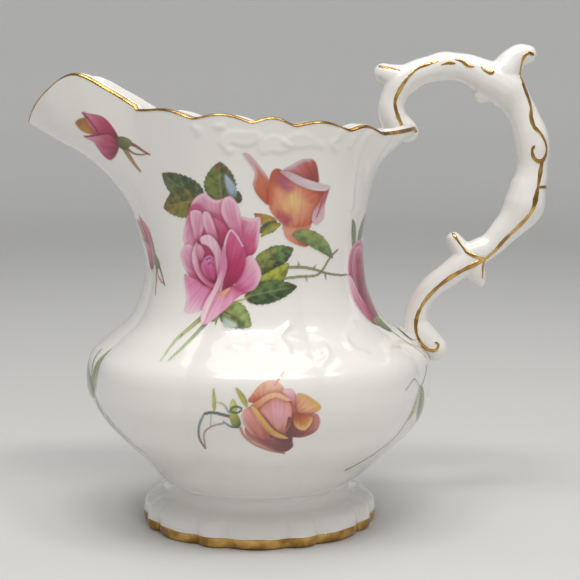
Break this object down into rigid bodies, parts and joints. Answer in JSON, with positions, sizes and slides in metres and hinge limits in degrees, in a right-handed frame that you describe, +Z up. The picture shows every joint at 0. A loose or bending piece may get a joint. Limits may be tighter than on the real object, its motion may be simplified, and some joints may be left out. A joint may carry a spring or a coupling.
{
  "type": "cream jug",
  "caption": "Footed porcelain cream jug with a scooped pouring spout, a scalloped rim and a tall scrolled handle, gilded along its edges.",
  "frame": {"origin": "middle of the bounding box, on the surface that the jug stands on", "axes": "+Z up; -X towards the spout, +X towards the handle; the XZ plane is the plane of symmetry"},
  "size_m": [0.1302, 0.0872, 0.1193],
  "materials": {
    "porcelain": "clear high-gloss glaze over ivory-white bone china",
    "slip": "glazed clay slip",
    "gold": "thin fired liquid gold, bright"
  },
  "bodies": {
    "root": {"jug_body": "porcelain", "pedestal_foot": "porcelain", "handle": "porcelain", "foot_luting": "slip", "handle_luting_upper": "slip", "handle_luting_lower": "slip", "rim_gilding": "gold", "foot_gilding": "gold", "handle_gilding_shoulder_near": "gold", "handle_gilding_shoulder_far": "gold", "handle_gilding_crown_near": "gold", "handle_gilding_crown_far": "gold", "handle_gilding_back_near": "gold", "handle_gilding_back_far": "gold", "handle_gilding_tail_near": "gold", "handle_gilding_tail_far": "gold"}
  },
  "joints": []
}
